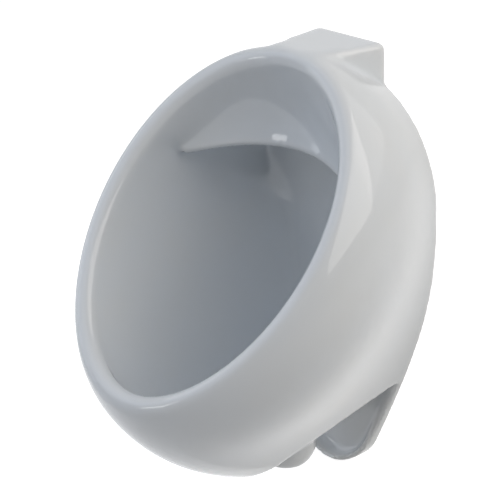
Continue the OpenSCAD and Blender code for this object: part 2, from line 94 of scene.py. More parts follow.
# Hood: its lip, the hollow behind it, and the turns over which it fades into the plain lines
LIP_HALF_WIDTH = 130
LIP_REACH = 84
LIP_HEIGHT = 395
LIP_DROP = 23.5
LIP_BOW = 55
LIP_ROLL = 6
LIP_INSIDE = 0.97
LIP_PULL = (0, 0.12, 0.3)
HOOD_PULL = 0.35
HOOD_SIGHT = 140
HOOD_EASE = 0.3
HOOD_START = 49
HOOD_END = 57
HOOD_FADE = 24
HOLLOW_DEPTH = 24
HOLLOW_FLAT = 40
HOLLOW_FADE = 90
HOLLOW_DROP = 2
HOLLOW_ROOT = (6, 0.75, 12)
HOLLOW_CREST = (0, -22, 10)
BACK_SHARES = (0.35, 0.7)
# Stations along a basin line: the lip, the end of the lip's roll, the hollow's top and the knee; the share
# of a line between two of the roll's, the share before which a line is as deep as the lip, and the halvings
# that find that place
LIP_STATION = 5
ROLL_STATION = 9
TOP_STATION = 14
INNER_STEPS = 18
ROLL_STEP = 0.012
DEEPEST_SHARE = 0.9
HALVINGS = 14
# Block over the water inlet: half widths, reach, heights, and the radius on its edges with its steps
BLOCK_FRONT_HALF = 36
BLOCK_TOP_HALF = 49
BLOCK_FOOT_HALF = 52
BLOCK_REACH = 93
BLOCK_HEIGHT = 502
BLOCK_FRONT_RISE = 1.6
BLOCK_FRONT_FOOT = 466
BLOCK_REAR_FOOT = 440
BLOCK_EDGE = 7
BLOCK_ROUND = 6
# Tongue with its tray, and the open underside: the skirt's curved edge as (y, z), the tongue's side, the
# points that close the two skins in front, and the room in which they are cut
TONGUE_PLATE = 9
TONGUE_RIM = 20
TONGUE_EDGE = 6
TRAY_ROUND = 10
TRAY_DEPTH = 12
TRAY_REACH = 60
TRAY_FOOT = -20
TRAY_START = 98
TRAY_STEPS = 100
TRAY_ARC = 6
OPENING_REACH = 197
OPENING_HEIGHT = 122.5
SKIRT_FRONT = 24
SKIRT_HANDLES = ((17 - OPENING_REACH, OPENING_HEIGHT - 26.5), (-92, OPENING_HEIGHT - 25.5))
TONGUE_SIDE = ((-13, 62), (-TONGUE_RIM, 24), (-TONGUE_RIM - 9, -2))
SKIN_CAP = (0, -200, 304)
BASIN_CAP = (0, -250, 334)
ROOM_SIDE = 200
ROOM_TOP = OPENING_HEIGHT + 18
ROOM_FLOOR = -50
ROOM_INSET = 12
ROOM_LAP = 2
# Outlet's boss and bores, each bore as (radius, start, end)
OUTLET_REACH = 98
OUTLET_RADIUS = 24
NECK_RADIUS = 21
NECK_HEIGHT = 40
NECK_TOP = 80
SEAT_HEIGHT = 54
SEAT_RADIUS = 30
SEAT_TOP = 84
BOSS_RADIUS = 35
BOSS_HEIGHT = 53
BOSS_LAP = 4
BOSS_SKIN = 0.3
CORE_TOP = 140
CAP_SIDE = 60
CAP_TOP = 120
OUTLET_BORES = ((OUTLET_RADIUS, 0, NECK_HEIGHT), (NECK_RADIUS, 0, NECK_TOP),
                (SEAT_RADIUS, SEAT_HEIGHT, SEAT_TOP))
# Inlet's pocket, hole and chamber, and the recesses for the hangers as (front, back, foot, top)
INLET_HEIGHT = 462
INLET_BORES = ((26, 1, -22), (13.8, 1, -40), (22, -36, -62))
HANGER_SIDE = 67
RECESS_HALF = 17
RECESSES = ((-18, 1, 362, 406), (-18, -10, 405, 418))
# Section of the inlet's tail as (radius, y), from the wall inward: socket, filter seat, water way, nose,
# groove and flange; its two threads as (root, crest, start, end); how far a thread's root lies inside the
# tail's metal, and its half widths at root and crest as shares of its pitch
TAIL_SECTION = ((12.05, -2), (12.05, -39), (19, -39), (19, -42), (10, -42), (10, -46.05), (8.15, -46.05),
                (8.15, -47.95), (10, -47.95), (10, -52), (6, -52), (6, -18), (8.3, -18), (8.3, -16),
                (10.4, -16), (10.4, -2))
OUTSIDE_THREAD = (12.05, 13.2, -2.6, -34.5)
INSIDE_THREAD = (10.4, 9.3, -2.4, -15.6)
THREAD_SINK = 0.15
THREAD_ROOT = 0.42
THREAD_CREST = 0.1
# Spots (x, y, z, radius) where the china's forms flow together, the smoothing passes there, and how soon
# they reach full strength
BLOCK_SPOTS = ((0, -80, 500, 26), (-24, -82, 498, 30), (24, -82, 498, 30), (-40, -82, 482, 34),
               (40, -82, 482, 34), (-48, -44, 470, 36), (48, -44, 470, 36))
BLOCK_PASSES = 90
HOOD_SPOTS = ((-100, -30, 320, 48), (100, -30, 320, 48))
HOOD_PASSES = 140
SPOT_RAMP = 1.6
# Radius broken on the smallest fittings and on the strainer's screw
FINE_EDGE = 0.1
SCREW_EDGE = 0.2
# Copies of CAD nodes: points nearer than this many metres are one, and bends in radians below which faces
# are flat and past which an edge is sharp
SAME_POINT = 0.000005
FLAT = radians(0.6)
SHARP = radians(32)
# Lines round the bowl, and the steps along each part of one
SHELL_LINES = 288
INNER_ARC = 8
INNER_FINE = 5
OUTER_ARC = 12
OUTER_STEPS = 60
CAP_SHARES = (0.25, 0.5, 0.75)
ROUND_SIDES = 128
THREAD_STEPS = 72
UNDER_LINES = 144
UNDER_STEPS = 36
BASIN_STEPS = 30
EDGE_STEPS = 60
LEAST_FACES = 10000
# Light and camera: degrees round from the bowl's front toward +x and degrees up, metres for places and
# widths, millimetres for the lens and its sensor, and shares of the sensor for the shift. Each lamp as
# (turn, rise, width, colour)
TARGET = (0, -0.15, 0.254)
LAMP_DISTANCE = 3
LAMPS = {"key": (102, 44, 3.2, "#FFFBF5"), "rear": (150, 40, 2.4, "#FFFFFF"),
         "top": (-34, 46, 3.2, "#DDEBFF"), "fill": (-70, 14, 1.8, "#F6FAFF"),
         "glint": (-26, 9, 0.6, "#FFFFFF")}
CAMERA_TURN = 45
CAMERA_RISE = 23.18616
CAMERA_DISTANCE = 2
CAMERA_LENS = 135.07
CAMERA_SENSOR = 36
CAMERA_SHIFT = (-0.00632, 0.07382)
FLOOR_SIZE = 12
FLOOR_GAP = 0.001
FLOOR_GLOW = 0.87


def vec(*values):
    """A point as an array."""
    return np.array(values, dtype=float)


def mix(a, b, k):
    """The value between a and b at share k."""
    return a * (1 - k) + b * k


def smooth(k):
    """0 below 0, 1 above 1 and a soft step between."""
    k = min(1.0, max(0.0, k))
    return k * k * (3 - 2 * k)


def bezier(p, k):
    """The point at share k of a cubic curve with four handles."""
    return p[0] * (1 - k) ** 3 + 3 * p[1] * k * (1 - k) ** 2 + 3 * p[2] * k * k * (1 - k) + p[3] * k ** 3


def in_plane(u, v):
    """A point of the rim's leaning plane."""
    return vec(u, v * sin(RIM_LEAN), v * cos(RIM_LEAN))


def rim_side(t):
    """The rim's outward direction in its own plane at turn t, in radians."""
    du = RIM_WIDTH[0] * cos(t) + 2 * RIM_WIDTH[1] * cos(2 * t)
    dv = -RIM_LENGTH[0] * sin(t) - 2 * RIM_LENGTH[1] * sin(2 * t)
    side = in_plane(-dv, du)
    return side / np.linalg.norm(side)


def roll_point(t, a):
    """A point on the rolled rim, a radians round its section."""
    u = RIM_WIDTH[0] * sin(t) + RIM_WIDTH[1] * sin(2 * t)
    v = RIM_LENGTH[0] * cos(t) + RIM_LENGTH[1] * cos(2 * t)
    return vec(*RIM_MIDDLE) + in_plane(u, v) + RIM_ROLL * (cos(a) * rim_side(t) + sin(a) * FACE_OUT)


def wall_half(t):
    """The wall's outline on one side, t degrees from the top."""
    if t < SHOULDER_END:
        a = radians(90 * t / SHOULDER_END)
        return vec(WALL_HALF_WIDTH * sin(a), WALL_WIDEST_HEIGHT + SHOULDER_RISE * cos(a))
    if t < TONGUE_START:
        end = vec(*FLANK_END)
        away = FLANK_PULL * vec(sin(radians(FLANK_TILT)), cos(radians(FLANK_TILT)))
        widest = vec(WALL_HALF_WIDTH, WALL_WIDEST_HEIGHT)
        return bezier([widest, widest + vec(FLANK_SWELL, -SHOULDER_PULL), end + away, end],
                      (t - SHOULDER_END) / (TONGUE_START - SHOULDER_END))
    a = radians((90 - FLANK_TILT) * (180 - t) / (180 - TONGUE_START))
    return TONGUE_RADIUS * vec(sin(a), 1 - cos(a))


def wall_point(t):
    """The wall's outline all round."""
    x, z = wall_half(t if t <= 180 else 360 - t)
    return vec(x if t <= 180 else -x, 0, z)


def outer_leave(t):
    """Angle round the rim's roll at which the outer skin leaves it."""
    mean, twice, once = OUTER_LEAVE
    return mean + twice * cos(radians(2 * t)) + once * cos(radians(t))


def outer_handles(t):
    """Handles of the outer skin's line, from the rim back to the wall."""
    leave = radians(outer_leave(t))
    start = roll_point(radians(t), leave)
    along = sin(leave) * rim_side(radians(t)) - cos(leave) * FACE_OUT
    low = FOOT_SPAN - abs(t - 180)
    stop = wall_point(t) - vec(0, SKIN_FOOT + (TONGUE_RIM - SKIN_FOOT) * smooth(low / FOOT_FADE), 0)
    gap = np.linalg.norm(stop - start)
    tilt = mix(OUTER_TILT[0], OUTER_TILT[1], smooth(low / FOOT_SPAN))
    toward = mix(vec(0, -gap, 0), start - stop, tilt)
    return [start, start + along * gap * OUTER_PULL[0], stop + OUTER_PULL[1] * toward, stop]


def outer_line(t):
    """The outer skin's line with the outer part of the rim's roll."""
    leave = outer_leave(t)
    roll = [roll_point(radians(t), radians(90 + (leave - 90) * i / OUTER_ARC)) for i in range(OUTER_ARC)]
    handles = outer_handles(t)
    return roll + [bezier(handles, i / OUTER_STEPS) for i in range(OUTER_STEPS + 1)] + [wall_point(t)]


def basin_edge(t):
    """The basin's edge on its back wall."""
    h = min(t, 360 - t)
    if h < SHOULDER_END:
        q = radians(90 * h / SHOULDER_END)
    else:
        q = radians(90 + 90 * (h - SHOULDER_END) / (180 - SHOULDER_END))
    s = sin(q) if t <= 180 else -sin(q)
    c = cos(q)
    half = WALL_HALF_WIDTH - BASIN_INSET
    if c > 0:
        return vec(half * s, -BACK_WALL, WALL_WIDEST_HEIGHT + (SHOULDER_RISE - BASIN_INSET) * c)
    width = half * np.sign(s) * abs(s) ** BASIN_TAPER
    drop = (WALL_WIDEST_HEIGHT - BASIN_FLOOR) * (-c) ** BASIN_TAPER
    return vec(width, -BACK_WALL, WALL_WIDEST_HEIGHT - drop)


def plain_handles(t):
    """Handles of the basin's line without the hood."""
    c = cos(radians(t))
    side = rim_side(radians(t))
    start = roll_point(radians(t), pi)
    leave = radians(INNER_LEAVE[0] + INNER_LEAVE[1] * cos(radians(2 * t)) + INNER_LEAVE[2] * c)
    along = sin(leave) * side - cos(leave) * FACE_OUT
    edge = basin_edge(t)
    pole = vec(0, -BACK_WALL, POLE_HEIGHT)
    knee = mix(pole, edge, KNEE_SHARE[0] + KNEE_SHARE[1] * c)
    return [start, start + along * np.linalg.norm(edge - start) * INNER_PULL + INNER_FLARE * side,
            knee + (edge - pole) * (KNEE_PULL[0] + KNEE_PULL[1] * c), knee]


def lip_point(t):
    """A point of the hood's lip."""
    x = LIP_INSIDE * roll_point(radians(t), pi)[0]
    k = min(1, abs(x) / LIP_HALF_WIDTH)
    return vec(x, -LIP_REACH - LIP_BOW * k * k, LIP_HEIGHT - LIP_DROP * k * k)


def meets(handles, y):
    """Share of a plain line at which it comes as near to the wall as y."""
    low, high = 0.0, DEEPEST_SHARE
    for _ in range(HALVINGS):
        half = (low + high) / 2
        if bezier(handles, half)[1] < y:
            low = half
        else:
            high = half
    return (low + high) / 2


def inner_station(t, i, at_lip):
    """Share of the plain line that station i stands at."""
    if i <= LIP_STATION:
        near = at_lip * i / LIP_STATION
    elif i <= ROLL_STATION:
        near = at_lip + ROLL_STEP * (i - LIP_STATION)
    else:
        behind = at_lip + ROLL_STEP * (ROLL_STATION - LIP_STATION)
        near = mix(behind, 1, (i - ROLL_STATION) / (INNER_STEPS - ROLL_STATION))
    return mix(near, i / INNER_STEPS, smooth((min(t, 360 - t) - HOOD_END) / HOOD_FADE))


def hood_leave(t):
    """Where round the rim's roll, in radians, the hood's front leaves it, heading nearly for the lip."""
    down = lip_point(t) - roll_point(radians(t), radians(HOOD_SIGHT))
    return mix(atan2(-down @ rim_side(radians(t)), down @ FACE_OUT), pi, HOOD_EASE)


def hood_point(t, i, knee):
    """The basin's line with the hood: its front, the lip, the hollow and the back wall."""
    lip = lip_point(t)
    if i <= LIP_STATION:
        leave = hood_leave(t)
        start = roll_point(radians(t), leave)
        fall = np.linalg.norm(lip - start)
        away = cos(leave) * FACE_OUT - sin(leave) * rim_side(radians(t))
        down = start + HOOD_PULL * fall * away
        return bezier([start, down, lip + fall * vec(*LIP_PULL), lip], i / LIP_STATION)
    if i <= ROLL_STATION:
        a = radians(180 * (i - LIP_STATION) / (ROLL_STATION - LIP_STATION))
        return lip + LIP_ROLL * vec(0, 1 - cos(a), -sin(a))
    e = basin_edge(t)
    out = HOLLOW_DEPTH * (1 - smooth((abs(e[0]) - HOLLOW_FLAT) / HOLLOW_FADE))
    edge = vec(e[0], -BACK_WALL - out, e[2] - HOLLOW_DROP)
    if i <= TOP_STATION:
        root = lip + vec(0, 2 * LIP_ROLL, 0)
        up = root + vec(0, HOLLOW_ROOT[0], HOLLOW_ROOT[1] * (edge[2] - root[2]) + HOLLOW_ROOT[2])
        share = (i - ROLL_STATION) / (TOP_STATION - ROLL_STATION)
        return bezier([root, up, edge + vec(*HOLLOW_CREST), edge], share)
    first, second = (mix(edge, knee, share) for share in BACK_SHARES)
    back = [edge, vec(first[0], edge[1], first[2]), vec(second[0], knee[1], second[2]), knee]
    return bezier(back, (i - TOP_STATION) / (INNER_STEPS - TOP_STATION))


def inner_line(t):
    """The inner part of the rim's roll and the basin's line down to the back wall."""
    handles = plain_handles(t)
    share = 1 - smooth((min(t, 360 - t) - HOOD_START) / (HOOD_END - HOOD_START))
    leave = mix(pi, min(pi, hood_leave(t)), share) if share > 0 else pi
    roll = [roll_point(radians(t), mix(pi / 2, leave, i / INNER_ARC)) for i in range(1, INNER_ARC + 1)]
    at_lip = meets(handles, lip_point(t)[1])
    line = []
    for n in range(1, INNER_STEPS * INNER_FINE + 1):
        i = n / INNER_FINE
        point = bezier(handles, inner_station(t, i, at_lip))
        if share > 0:
            point = mix(point, hood_point(t, i, handles[3]), share)
        line.append(point)
    return roll + line


def placed(name, data):
    """A new object at the origin for a mesh, lamp or camera."""
    piece = bpy.data.objects.new(name, data)
    bpy.context.collection.objects.link(piece)
    return piece


def solid(name, points, faces):
    """A closed object from points in millimetres and faces, turned outward."""
    mesh = bpy.data.meshes.new(name)
    mesh.from_pydata([tuple(0.001 * np.asarray(p)) for p in points], [], faces)
    piece = placed(name, mesh)
    face_outward(piece)
    return piece


def grid_object(name, lines, caps):
    """A closed object from equally long lines all round, with a cap point at each end of the lines."""
    n, m = len(lines), len(lines[0])
    points = [p for line in lines for p in line] + list(caps)
    faces = []
    for i in range(n):
        k = (i + 1) % n
        faces += [(i * m + j, i * m + j + 1, k * m + j + 1, k * m + j) for j in range(m - 1)]
        faces += [(n * m, i * m, k * m), (n * m + 1, k * m + m - 1, i * m + m - 1)]
    return solid(name, points, faces)


def grown(lines, d):
    """The lines moved by d along the surface's own normals."""
    a = np.array(lines)
    across = np.roll(a, -1, 0) - np.roll(a, 1, 0)
    along = np.empty_like(a)
    along[:, 1:-1] = a[:, 2:] - a[:, :-2]
    along[:, 0] = a[:, 1] - a[:, 0]
    along[:, -1] = a[:, -1] - a[:, -2]
    normal = np.cross(across, along)
    normal /= np.linalg.norm(normal, axis=2, keepdims=True)
    return list(a + d * normal)


def pick(*pieces):
    """Selects only these pieces and makes the first one active."""
    bpy.ops.object.select_all(action="DESELECT")
    for piece in pieces:
        piece.select_set(True)
    bpy.context.view_layer.objects.active = pieces[0]


def face_outward(piece):
    """Turns all faces of a closed piece outward."""
    pick(piece)
    bpy.ops.object.mode_set(mode="EDIT")
    bpy.ops.mesh.select_all(action="SELECT")
    bpy.ops.mesh.normals_make_consistent(inside=False)
    bpy.ops.object.mode_set(mode="OBJECT")


def apply_modifier(piece, kind, **settings):
    """Adds one modifier with its settings and applies it."""
    pick(piece)
    modifier = piece.modifiers.new(kind.title(), kind)
    for key, value in settings.items():
        setattr(modifier, key, value)
    bpy.ops.object.modifier_apply(modifier=modifier.name)


def combine(piece, tool, how):
    """Joins, cuts or keeps the common part of piece and tool, then removes the tool."""
    apply_modifier(piece, "BOOLEAN", operation=how, object=tool, solver="MANIFOLD")
    bpy.data.objects.remove(tool)


def cylinder(name, radius, start, end):
    """A closed round bar between two points in millimetres."""
    a, b = Vector(start) * 0.001, Vector(end) * 0.001
    bpy.ops.mesh.primitive_cylinder_add(vertices=ROUND_SIDES, radius=radius * 0.001, depth=(b - a).length)
    piece = bpy.context.object
    piece.name = name
    piece.rotation_mode = "QUATERNION"
    piece.rotation_quaternion = (b - a).to_track_quat("Z", "Y")
    piece.location = (a + b) / 2
    bpy.ops.object.transform_apply(location=True, rotation=True, scale=True)
    return piece


def box(name, low, high):
    """A box between two corners in millimetres."""
    bpy.ops.mesh.primitive_cube_add(size=1)
    piece = bpy.context.object
    piece.name = name
    piece.location = [0.0005 * (a + b) for a, b in zip(low, high)]
    piece.scale = [0.001 * (b - a) for a, b in zip(low, high)]
    bpy.ops.object.transform_apply(location=True, rotation=True, scale=True)
    return piece


def china_shell():
    """Outer skin, rolled rim, basin and hood as one closed body."""
    floor = vec(0, -BACK_WALL, POLE_HEIGHT)
    back = vec(0, 0, POLE_HEIGHT)
    lines = []
    for n in range(SHELL_LINES):
        t = 360 / SHELL_LINES * n
        line = list(reversed(inner_line(t))) + outer_line(t)
        before = [mix(floor, line[0], k) for k in CAP_SHARES]
        after = [mix(line[-1], back, k) for k in CAP_SHARES]
        lines.append(before + line + after)
    return grid_object("china", lines, [floor, back])


def top_block():
    """The block at the top rear that covers the water inlet."""
    bpy.ops.mesh.primitive_cube_add(size=2)
    piece = bpy.context.object
    piece.name = "block"
    for v in piece.data.vertices:
        front, top = v.co.y < 0, v.co.z > 0
        if front:
            half, z = BLOCK_FRONT_HALF, BLOCK_HEIGHT + BLOCK_FRONT_RISE if top else BLOCK_FRONT_FOOT
        else:
            half, z = (BLOCK_TOP_HALF, BLOCK_HEIGHT) if top else (BLOCK_FOOT_HALF, BLOCK_REAR_FOOT)
        v.co = 0.001 * Vector((half * v.co.x, -BLOCK_REACH if front else 0, z))
    apply_modifier(piece, "BEVEL", width=0.001 * BLOCK_EDGE, segments=BLOCK_ROUND, limit_method="ANGLE")
    return piece


def tray():
    """The tongue's shallow tray: a thin rim and a wide fillet round its floor."""
    arc = [radians(90 * j / TRAY_ARC) for j in range(TRAY_ARC + 1)]
    rings = [(TRAY_ROUND * (1 - sin(a)), TRAY_ROUND * (1 - cos(a))) for a in arc]
    rings.append((0, TRAY_ROUND + TRAY_DEPTH))
    mesh = bmesh.new()
    for inset, depth in rings:
        for n in range(TRAY_STEPS + 1):
            t = TRAY_START + (360 - 2 * TRAY_START) / TRAY_STEPS * n
            x, z = wall_point(t)[0], wall_point(t)[2]
            ahead, behind = wall_point(t + 1), wall_point(t - 1)
            side = vec(behind[2] - ahead[2], 0, ahead[0] - behind[0])
            side *= (TONGUE_EDGE + inset) / np.linalg.norm(side)
            mesh.verts.new(0.001 * Vector((x - side[0], -TONGUE_PLATE - depth, z - side[2])))
    bmesh.ops.convex_hull(mesh, input=mesh.verts)
    loose = [v for v in mesh.verts if not v.link_faces]
    bmesh.ops.delete(mesh, geom=loose, context="VERTS")
    data = bpy.data.meshes.new("tray")
    mesh.to_mesh(data)
    mesh.free()
    piece = placed("tray", data)
    room = box("tray_room", (-ROOM_SIDE, -TRAY_REACH, TRAY_FOOT), (ROOM_SIDE, 0, ROOM_TOP))
    combine(piece, room, "INTERSECT")
    return piece


def skirt_slab():
    """The room under the skirt's curved edge and in front of the tongue's side, right across."""
    start = vec(-OPENING_REACH, SKIRT_FRONT)
    stop = vec(-TONGUE_PLATE, OPENING_HEIGHT)
    handles = [start, vec(*SKIRT_HANDLES[0]), vec(*SKIRT_HANDLES[1]), stop]
    edge = [bezier(handles, i / EDGE_STEPS) for i in range(EDGE_STEPS + 1)] + list(TONGUE_SIDE)
    edge += [(TONGUE_SIDE[-1][0], ROOM_FLOOR), (-OPENING_REACH, ROOM_FLOOR)]
    n = len(edge)
    faces = [tuple(range(n)), tuple(range(2 * n - 1, n - 1, -1))]
    faces += [(i, (i + 1) % n, n + (i + 1) % n, n + i) for i in range(n)]
    return solid("slab", [(x, y, z) for x in (-ROOM_SIDE, ROOM_SIDE) for y, z in edge], faces)


def underside():
    """The space under the basin, inside the skirt and in front of the tongue."""
    turns = [360 / UNDER_LINES * n for n in range(UNDER_LINES)]
    skin = []
    basin = []
    for t in turns:
        outer, inner = outer_handles(t), plain_handles(t)
        skin.append([bezier(outer, i / UNDER_STEPS) for i in range(1, UNDER_STEPS + 1)] + [wall_point(t)])
        basin.append([bezier(inner, i / BASIN_STEPS) for i in range(1, BASIN_STEPS + 1)])
    inside = grid_object("inside", grown(skin, -CHINA), [vec(*SKIN_CAP), vec(0, 0, POLE_HEIGHT)])
    low = (-ROOM_SIDE, ROOM_INSET - OPENING_REACH, ROOM_FLOOR)
    high = (ROOM_SIDE, ROOM_LAP - TONGUE_PLATE - TRAY_ROUND, ROOM_TOP)
    combine(inside, box("room", low, high), "INTERSECT")
    combine(inside, tray(), "UNION")
    combine(inside, skirt_slab(), "UNION")
    caps = [vec(*BASIN_CAP), vec(0, CHINA - BACK_WALL, POLE_HEIGHT)]
    wall = grid_object("basin", grown(basin, CHINA), caps)
    combine(inside, wall, "DIFFERENCE")
    y = -OUTLET_REACH
    core = cylinder("boss_core", BOSS_RADIUS - BOSS_SKIN, (0, y, BOSS_HEIGHT - BOSS_LAP), (0, y, CORE_TOP))
    combine(inside, core, "DIFFERENCE")
    return inside


def outlet_boss():
    """The round boss under the basin."""
    bpy.ops.mesh.primitive_uv_sphere_add(segments=ROUND_SIDES, ring_count=ROUND_SIDES // 2,
                                         radius=0.001 * BOSS_RADIUS,
                                         location=(0, -0.001 * OUTLET_REACH, 0.001 * BOSS_HEIGHT))
    piece = bpy.context.object
    piece.name = "boss"
    bpy.ops.object.transform_apply(location=True, rotation=True, scale=True)
    low = (-CAP_SIDE, -OUTLET_REACH - CAP_SIDE, SEAT_HEIGHT - BOSS_LAP)
    cap = box("cap", low, (CAP_SIDE, -OUTLET_REACH + CAP_SIDE, CAP_TOP))
    combine(piece, cap, "DIFFERENCE")
    return piece


def cut_bores(piece):
    """Cuts the outlet's socket, neck and seat, the inlet's pocket, hole and chamber, and the recesses."""
    y = -OUTLET_REACH
    for radius, low, high in OUTLET_BORES:
        combine(piece, cylinder("bore", radius, (0, y, low), (0, y, high)), "DIFFERENCE")
    for radius, start, end in INLET_BORES:
        bore = cylinder("bore", radius, (0, start, INLET_HEIGHT), (0, end, INLET_HEIGHT))
        combine(piece, bore, "DIFFERENCE")
    for x in (-HANGER_SIDE, HANGER_SIDE):
        for front, back, foot, top in RECESSES:
            recess = box("recess", (x - RECESS_HALF, front, foot), (x + RECESS_HALF, back, top))
            combine(piece, recess, "DIFFERENCE")


def soften_near(piece, centres, passes):
    """Smooths the skin round each centre (x, y, z and radius in millimetres), less toward the radius."""
    group = piece.vertex_groups.new(name="near")
    points = np.empty(3 * len(piece.data.vertices))
    piece.data.vertices.foreach_get("co", points)
    points = 1000 * points.reshape(-1, 3)
    for x, y, z, radius in centres:
        share = 1 - np.linalg.norm(points - (x, y, z), axis=1) / radius
        for i in np.flatnonzero(share > 0):
            group.add([int(i)], smooth(SPOT_RAMP * share[i]), "ADD")
    apply_modifier(piece, "SMOOTH", factor=0.5, iterations=passes, vertex_group="near")
    piece.vertex_groups.clear()


def round_over(piece, voxel, soft):
    """Turns the joined china into one even skin of quads with soft edges."""
    apply_modifier(piece, "REMESH", mode="VOXEL", voxel_size=0.5 * voxel)
    apply_modifier(piece, "SMOOTH", factor=0.5, iterations=soft)
    soften_near(piece, BLOCK_SPOTS, BLOCK_PASSES)
    soften_near(piece, HOOD_SPOTS, HOOD_PASSES)
    fine = placed("fine", piece.data.copy())
    apply_modifier(piece, "REMESH", mode="VOXEL", voxel_size=voxel)
    for _ in range(2):
        apply_modifier(piece, "SHRINKWRAP", target=fine, wrap_method="NEAREST_SURFACEPOINT")
        apply_modifier(piece, "SMOOTH", factor=0.5, iterations=1)
    apply_modifier(piece, "SHRINKWRAP", target=fine, wrap_method="NEAREST_SURFACEPOINT")
    bpy.data.objects.remove(fine)


def china_bowl(voxel, soft):
    """The whole bowl: shell, top block, underside, boss and bores."""
    china = china_shell()
    combine(china, top_block(), "UNION")
    combine(china, underside(), "DIFFERENCE")
    combine(china, outlet_boss(), "UNION")
    round_over(china, voxel, soft)
    cut_bores(china)
    return china


def linear(hex_text):
    """The linear colour of an sRGB hex code."""
    shares = [int(hex_text[i:i + 2], 16) / 255 for i in (1, 3, 5)]
    return [s / 12.92 if s <= 0.04045 else ((s + 0.055) / 1.055) ** 2.4 for s in shares] + [1]


def per_mm(size):
    """Scale of a pattern whose features are size millimetres wide."""
    return 1000 / size


def new_material(name):
    """A material with an empty node tree, and its Object coordinates in metres."""
    material = bpy.data.materials.new(name)
    material.use_nodes = True
    tree = material.node_tree
    tree.nodes.clear()
    return material, tree, add(tree, "TexCoord", (-1500, 0), output="Object")


def add(tree, kind, at, inputs=(), output=0, **settings):
    """Adds one node with its settings and its inputs by name, number or order, and gives one output."""
    node = tree.nodes.new("ShaderNode" + kind)
    node.location = at
    for key, value in settings.items():
        setattr(node, key, value)
    for key, value in inputs.items() if isinstance(inputs, dict) else enumerate(inputs):
        if isinstance(value, bpy.types.NodeSocket):
            tree.links.new(value, node.inputs[key])
        else:
            node.inputs[key].default_value = value
    return node.outputs[output] if node.outputs else None


def glazed_china():
    """White vitreous china under a clear glossy glaze, left bare where it lies on the wall."""
    material, tree, place = new_material("Glazed vitreous china")
    # Bare biscuit within a millimetre of the wall, with an edge that wavers by 0.6 mm
    y = add(tree, "SeparateXYZ", (-1250, -400), (place,), "Y")
    waver = add(tree, "TexNoise", (-1250, -600), {"Vector": place, "Scale": per_mm(4.55)})
    waver = add(tree, "MapRange", (-1100, -700), (waver, 0.3, 0.7, -0.0006, 0.0006))
    edge = add(tree, "Math", (-1000, -500), (y, waver), operation="ADD")
    bare = add(tree, "MapRange", (-800, -500), (edge, -0.0016, -0.0008, 0.0, 1.0))
    # The glaze pools in hollows and thins on edges; the cooler, darker tone in hollows is partly pooled
    # glaze and partly painted shade
    hollowness = add(tree, "NewGeometry", (-1250, 300), output="Pointiness")
    pooled_glaze_and_shade = add(tree, "MapRange", (-1000, 300), (hollowness, 0.47, 0.53, 1.0, 0.0))
    tone = add(tree, "Mix", (-750, 300), {0: pooled_glaze_and_shade, 6: linear("#E6E8EA"), 7: linear("#DDE2E7")}, 2,
               data_type="RGBA")
    # Very faint wide clouds in which the white is a touch warmer
    cloud = add(tree, "TexNoise", (-1000, 550), {"Vector": place, "Scale": per_mm(71.4), "Detail": 3})
    cloud = add(tree, "MapRange", (-750, 550), (cloud, 0.35, 0.7, 0.0, 0.35))
    tone = add(tree, "Mix", (-500, 350), {0: cloud, 6: tone, 7: linear("#E2E3E2")}, 2, data_type="RGBA")
    # A fine speck of iron in one cell of forty
    cell = add(tree, "TexVoronoi", (-1000, 800), {"Vector": place, "Scale": per_mm(14.286)}).node.outputs
    near = add(tree, "MapRange", (-750, 800), (cell["Distance"], 0.012, 0.022, 1.0, 0.0))
    draw = add(tree, "SeparateColor", (-800, 1000), (cell["Color"],))
    few = add(tree, "Math", (-600, 950), (draw, 0.975), operation="GREATER_THAN")
    speck = add(tree, "Math", (-400, 850), (near, few), operation="MULTIPLY")
    speck = add(tree, "Math", (-250, 700), (speck, 0.55), operation="MULTIPLY")
    tone = add(tree, "Mix", (-250, 400), {0: speck, 6: tone, 7: linear("#8D8478")}, 2, data_type="RGBA")
    tone = add(tree, "Mix", (0, 350), {0: bare, 6: tone, 7: linear("#DCD6C9")}, 2, data_type="RGBA")
    # The glaze is glossy, with patches a little less so; the bare china is matt
    gloss = add(tree, "TexNoise", (-750, 50), {"Vector": place, "Scale": per_mm(16.7)})
    gloss = add(tree, "MapRange", (-500, 50), (gloss, 0.3, 0.7, 0.05, 0.085))
    rough = add(tree, "Mix", (-250, 50), {0: bare, 2: gloss, 3: 0.8}, data_type="FLOAT")
    # Long soft waves of the glaze, a fine orange peel, and grain on the bare china
    wave = add(tree, "TexNoise", (-750, -150), {"Vector": place, "Scale": per_mm(22.222), "Detail": 1.5})
    peel = add(tree, "TexNoise", (-750, -300), {"Vector": place, "Scale": per_mm(2.38), "Detail": 1})
    grain = add(tree, "TexNoise", (-750, -800),
                {"Vector": place, "Scale": per_mm(0.385), "Detail": 3, "Roughness": 0.6})
    bump = add(tree, "Bump", (-250, -150), {"Height": wave, "Distance": 0.00006})
    bump = add(tree, "Bump", (0, -250), {"Height": peel, "Distance": 0.000003, "Normal": bump})
    bump = add(tree, "Bump", (250, -350),
               {"Height": grain, "Distance": 0.00012, "Strength": bare, "Normal": bump})
    skin = add(tree, "BsdfPrincipled", (550, 0),
               {"Base Color": tone, "Roughness": rough, "IOR": 1.52, "Normal": bump})
    add(tree, "OutputMaterial", (900, 0), (skin,))
    return material


